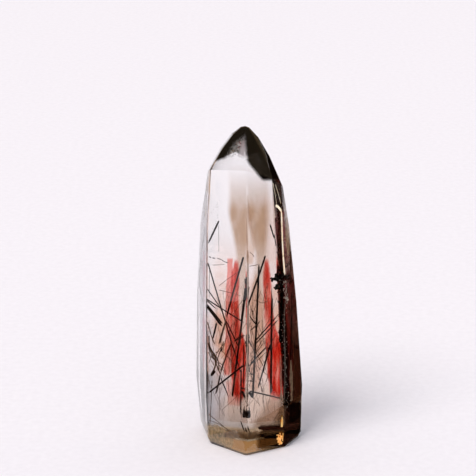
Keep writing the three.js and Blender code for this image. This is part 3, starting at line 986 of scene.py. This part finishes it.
# The crumbs: grains and flakes of the dark mineral, most of them in a ragged seam along the right front
# edge, with pale flakes of cracked quartz between them and a golden cluster at the seam's foot that glows as
# a painted glint.
CRUMB_COLOURS = {
    "black": ((0.003, 0.004, 0.003), (0.014, 0.012, 0.008)),
    "pale": ((0.45, 0.42, 0.35), (0.75, 0.72, 0.64)),
    "amber": ((0.8, 0.36, 0.08), (0.95, 0.62, 0.25)),
}
CRUMB_PAINTED_GLOW = {"amber": 0.45}
CRUMB_GRAIN = 3200
CRUMB_ROUGHNESS = (0.4, 0.3)
CRUMB_SHINE = 0.2
CRUMB_FLATNESS = (0.3, 1)
CRUMB_FLOOR = 0.0007
CRUMB_SEED = 5
# Each group: colour, count, the pixels between which it lies, its spread in pixels, the depths and the
# sizes in mm
CRUMB_GROUPS = [
    ("black", 60, (280, 286), (281.5, 335), 3.0, (0.3, 1.2), (0.25, 0.9)),
    ("black", 80, (282.5, 330), (286.5, 412), 4.0, (0.3, 1.2), (0.25, 0.9)),
    ("black", 30, (279, 215), (279, 272), 2.0, (0.3, 1.2), (0.2, 0.7)),
    ("black", 60, (273, 277.6), (288.5, 277), 3.0, (0.2, 1.4), (0.4, 1.3)),
    ("black", 30, (275, 288.5), (280.5, 284), 2.4, (0.2, 1.4), (0.4, 1.1)),
    ("black", 16, (280, 268), (280, 285), 1.6, (0.7, 1.2), (0.4, 1.0)),
    ("pale", 34, (284.5, 281), (286.6, 303), 2.0, (0.15, 0.3), (0.3, 0.8)),
    ("pale", 80, (283, 308), (287.5, 408), 3.4, (0.15, 0.3), (0.14, 0.5)),
    ("pale", 5, (279, 279.5), (282, 281), 1.0, (0.1, 0.2), (0.2, 0.4)),
    # painted glint: the amber cluster glows
    ("amber", 44, (280.4, 435), (279.8, 441.5), 3.0, (0.12, 0.26), (0.3, 0.8)),
    ("black", 60, (210, 300), (270, 425), 14, (1.0, 6.0), (0.05, 0.16)),
    ("black", 22, (218.5, 202), (214, 226), 4, (2.0, 3.0), (0.1, 0.26)),
    ("black", 70, (211, 414), (240, 424), 6, (0.8, 4.0), (0.07, 0.2)),
    ("black", 70, (256, 421), (284, 424), 7, (0.8, 3.0), (0.07, 0.22)),
    ("black", 24, (212, 436), (232, 441), 5, (0.3, 0.8), (0.1, 0.35)),
]


def crumb_finish(name, low, high):
    material, wire = new_finish(name + "_crumb")
    place = object_place(wire)
    colour = ramp(wire, grain(wire, place, CRUMB_GRAIN), list(zip(HAIR_SPLIT, (low, high))))
    rough = wire.node("BsdfPrincipled", None, {
        "Base Color": colour,
        "Roughness": CRUMB_ROUGHNESS[0] + grain(wire, place, PIT_GRAIN) * CRUMB_ROUGHNESS[1],
        "Specular IOR Level": CRUMB_SHINE,
        "Emission Color": colour,
        "Emission Strength": CRUMB_PAINTED_GLOW.get(name, 0.0),
    })
    wire.node("OutputMaterial", None, {"Surface": rough})
    return material


bpy.ops.object.select_all(action="DESELECT")
bpy.ops.mesh.primitive_ico_sphere_add(subdivisions=1, radius=0.5)
grit = bpy.context.object
crumbs = {kind: [] for kind in CRUMB_COLOURS}
chance = random.Random(CRUMB_SEED)
for kind, count, first, last, spread, depths, sizes in CRUMB_GROUPS:
    for number in range(count):
        way = chance.random()
        pixel = [a + (b - a) * way + chance.gauss(0, spread / 2) for a, b in zip(first, last)]
        copy = own_copy("crumb", grit.data)
        copy.location = sighted(pixel, chance.uniform(*depths))
        copy.location.z = max(copy.location.z, CRUMB_FLOOR)
        copy.rotation_euler = [chance.uniform(0, math.pi) for axis in range(3)]
        copy.scale = [chance.uniform(*sizes) * chance.uniform(*CRUMB_FLATNESS) / 1000 for axis in range(3)]
        crumbs[kind].append(copy)
for kind, (low, high) in CRUMB_COLOURS.items():
    grains = joined(crumbs[kind], kind + "_crumbs")
    grains.data.materials.append(crumb_finish(kind, low, high))
    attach(grains, "root")
bpy.data.objects.remove(grit)

# The red film: a thin flake of red iron oxide just under the back face, granular and half see-through,
# paler and pinker in its upper part.
FILM_PINK = (0.95, 0.62, 0.58, 1)
FILM_CORAL = (0.92, 0.27, 0.23, 1)
FILM_DEEP = (0.86, 0.1, 0.06, 1)
FILM_BODY = [(0.3, (0.7, 0.06, 0.04)), (0.7, (0.9, 0.25, 0.2))]
FILM_BODY_COVER = 0.25
FILM_ROUGHNESS = 0.6
FILM_DRAWN = 0.12
FILM_STREAK_GRAIN = 1500
FILM_BLOTCH_GRAIN = 420
FILM_FINE_GRAIN = 3800
FILM_TURN = math.radians(-16)
FILM_MIDDLE = (0.0015, 0.0092)
FILM_HEIGHTS = (0.0066, 0.0402)
FILM_FADE = 0.0006
FILM_RAGGED = 0.0012
FILM_WANDER = (0.08, 0.06, 0.4)
FILM_FOOT = (0.04, 0.12)
FILM_TOP = (1.03, 0.97)
FILM_STRONG = (0.37, 0.6)
FILM_LOW = (0.62, 0.3)
FILM_LOW_SHARE = 0.7
# Where the film's two sides run, at a share of its height: metres from its upright middle line
FILM_LEFT = [(0.0, -0.0004), (0.1, -0.0009), (0.25, -0.0013), (0.42, -0.0016), (0.9, -0.0017), (1.0, -0.0009)]
FILM_RIGHT = [(0.0, 0.0017), (0.1, 0.0023), (0.42, 0.0024), (0.52, 0.0011), (0.7, 0.0005), (1.0, 0.0003)]
FILM_SIDES = (-0.003, 0.003)


def film_finish():
    material, wire = new_finish("red_iron_oxide")
    place = object_place(wire)
    across = coordinate(wire, place, ACROSS) - FILM_MIDDLE[0]
    depth = coordinate(wire, place, DEPTH) - FILM_MIDDLE[1]
    rise = along(wire, coordinate(wire, place, UP), *FILM_HEIGHTS)
    sideways = across * math.cos(FILM_TURN) + depth * math.sin(FILM_TURN)
    streaks = grain(wire, drawn_out(wire, place, FILM_DRAWN), FILM_STREAK_GRAIN)
    blotch = grain(wire, place, FILM_BLOTCH_GRAIN, detail=4, roughness=0.65)
    fine = grain(wire, place, FILM_FINE_GRAIN)
    left_room = sideways - side_line(wire, rise, FILM_LEFT, (0, 1), FILM_SIDES)
    right_room = side_line(wire, rise, FILM_RIGHT, (0, 1), FILM_SIDES) - sideways
    room = left_room.smaller(right_room) + (streaks * 0.6 + blotch * 0.4 - 0.5) * FILM_RAGGED
    foot = smooth(wire, rise + blotch * FILM_WANDER[0], *FILM_FOOT)
    top = smooth(wire, rise + blotch * FILM_WANDER[1], *FILM_TOP)
    cover = smooth(wire, room, 0.0, FILM_FADE) * (foot * top)
    strong = smooth(wire, streaks * 0.75 + fine * 0.25, *FILM_STRONG)
    low = smooth(wire, rise + (blotch - 0.5) * FILM_WANDER[2], *FILM_LOW) * FILM_LOW_SHARE
    red = mixed(wire, low, sheer(wire, FILM_CORAL), sheer(wire, FILM_DEEP))
    tint = mixed(wire, strong, sheer(wire, FILM_PINK), red)
    grains = matte(wire, ramp(wire, fine, FILM_BODY), roughness=FILM_ROUGHNESS)
    body = mixed(wire, strong * fine * FILM_BODY_COVER, tint, grains)
    wire.node("OutputMaterial", None, {"Surface": mixed(wire, cover, sheer(wire), body)})
    return material


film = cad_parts["red_film"]
film.data.materials.clear()
film.data.materials.append(film_finish())

# The table top that the stone stands on: a wide pale sheet, a hair below the base, so that the polished
# base keeps its own shine.
FLOOR_SIDE = 6
FLOOR_DROP = 0.00005
FLOOR_PALE = [(0.3, (0.84, 0.82, 0.86)), (0.7, (0.88, 0.86, 0.9))]
FLOOR_ROUGHNESS = 0.85
FIBRE_GRAIN = 700


def floor_finish():
    material, wire = new_finish("pale_paper")
    place = object_place(wire)
    fibre = ramp(wire, grain(wire, place, FIBRE_GRAIN), FLOOR_PALE)
    wire.node("OutputMaterial", None, {"Surface": matte(wire, fibre, roughness=FLOOR_ROUGHNESS)})
    return material


bpy.ops.mesh.primitive_plane_add(size=FLOOR_SIDE, location=(0, 0, -FLOOR_DROP))
floor = bpy.context.object
floor.name = "table_top"
floor.data.materials.append(floor_finish())
floor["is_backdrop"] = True

# The studio: one large soft lamp from the front left, a white ceiling that fills the shadow, a dim warm
# room with a warm wall behind the stone, and dark cloths on the table outside the picture. The camera
# sees wall, ceiling and cloths only in and through the stone.
LAMP_TURN = math.radians(-45)
LAMP_HEIGHT = math.radians(56)
LAMP_SOFTNESS = math.radians(30)
LAMP_STRENGTH = 2.1
LAMP_COLOUR = (1, 0.94, 0.9)
ROOM_COLOUR = (0.22, 0.16, 0.1)
CLOTH_LIFT = 0.00001
CLOTH_ROUGHNESS = 0.9
CLOTH_COLOURS = {"black_cloth": (0.012, 0.006, 0.004, 1), "maroon_cloth": (0.055, 0.018, 0.01, 1)}
# Each cloth: its kind, its middle, its two sides, its turn, and whether the stone is seen against it or
# only mirrors it
CLOTHS = [
    ("maroon_cloth", (-0.044, -0.0685), (0.11, 0.115), 0, True),
    ("maroon_cloth", (-0.062, -0.007), (0.1, 0.008), 0, True),
    ("black_cloth", (0.0258, 0.003), (0.05, 0.03), 21.8, False),
    ("black_cloth", (0.0102, -0.0098), (0.0068, 0.009), 49, False),
    ("black_cloth", (0.107, 0.001), (0.186, 0.02), 0, False),
    ("black_cloth", (0.7, 0.05), (1, 0.3), 0, False),
    ("black_cloth", (0.874, 0.0305), (1.4, 1), 36.87, False),
    ("black_cloth", (0.8, 1.0), (1.3, 1.3), 0, False),
]
CEILING_PLACE = (0, 0, 1.5)
CEILING_SIDES = (5, 5)
CEILING_COLOUR = (0.68, 0.7, 0.76, 1)
WALL_COLOUR = (0.5, 0.33, 0.19, 1)
WALL_PLACE = (0, 1.2, 0.75)
WALL_SIDES = (4, 0.8)
LIGHT_TURNS = 32
CLEAR_TURNS = 24
SHEER_LAYERS = 64
BRIGHTEST = 20

lamp_from = Vector((
    math.sin(LAMP_TURN) * math.cos(LAMP_HEIGHT),
    -math.cos(LAMP_TURN) * math.cos(LAMP_HEIGHT),
    math.sin(LAMP_HEIGHT),
))
bpy.ops.object.light_add(type="SUN", rotation=lamp_from.to_track_quat("Z", "Y").to_euler())
lamp = bpy.context.object
lamp.data.energy = LAMP_STRENGTH
lamp.data.angle = LAMP_SOFTNESS
lamp.data.color = LAMP_COLOUR

world = bpy.data.worlds.new("studio")
bpy.context.scene.world = world
world.use_nodes = True
room = world.node_tree.nodes["Background"]
room.inputs["Color"].default_value = (*ROOM_COLOUR, 1)
room.inputs["Strength"].default_value = 1.0


def cloth_finish(name, colour):
    material, wire = new_finish(name)
    wire.node("OutputMaterial", None, {"Surface": matte(wire, colour, roughness=CLOTH_ROUGHNESS, shine=0.0)})
    return material


def stage_card(name, finish, place, sides, tilt=0, turn=0):
    """A flat card of the studio that the camera doesn't see and that throws no shadow."""
    bpy.ops.mesh.primitive_plane_add(size=1, location=place, rotation=(tilt, 0, turn))
    card = bpy.context.object
    card.name = name
    card.scale = (*sides, 1)
    bpy.ops.object.transform_apply(location=True, rotation=True, scale=True)
    card.data.materials.append(finish)
    card.visible_camera = False
    card.visible_shadow = False
    card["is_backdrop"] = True
    return card


def glow_finish(name, colour):
    material, wire = new_finish(name)
    glow = wire.node("Emission", None, {"Color": colour, "Strength": 1.0})
    wire.node("OutputMaterial", None, {"Surface": glow})
    return material


finishes = {name: cloth_finish(name, colour) for name, colour in CLOTH_COLOURS.items()}
for kind, middle, sides, turn, behind in CLOTHS:
    place = (*middle, CLOTH_LIFT - FLOOR_DROP)
    cloth = stage_card(kind, finishes[kind], place, sides, turn=math.radians(turn))
    cloth.visible_diffuse = False
    cloth.visible_transmission = behind
warm = glow_finish("warm_wall", WALL_COLOUR)
wall = stage_card("warm_wall", warm, WALL_PLACE, WALL_SIDES, tilt=math.pi / 2)
wall.visible_diffuse = False
white = glow_finish("white_ceiling", CEILING_COLOUR)
ceiling = stage_card("white_ceiling", white, CEILING_PLACE, CEILING_SIDES, tilt=math.pi)
ceiling.visible_glossy = False

scene = bpy.context.scene
scene.view_settings.view_transform = "Standard"
scene.cycles.max_bounces = LIGHT_TURNS
scene.cycles.transmission_bounces = CLEAR_TURNS
scene.cycles.transparent_max_bounces = SHEER_LAYERS
scene.cycles.use_denoising = True
scene.cycles.sample_clamp_indirect = BRIGHTEST

low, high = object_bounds()
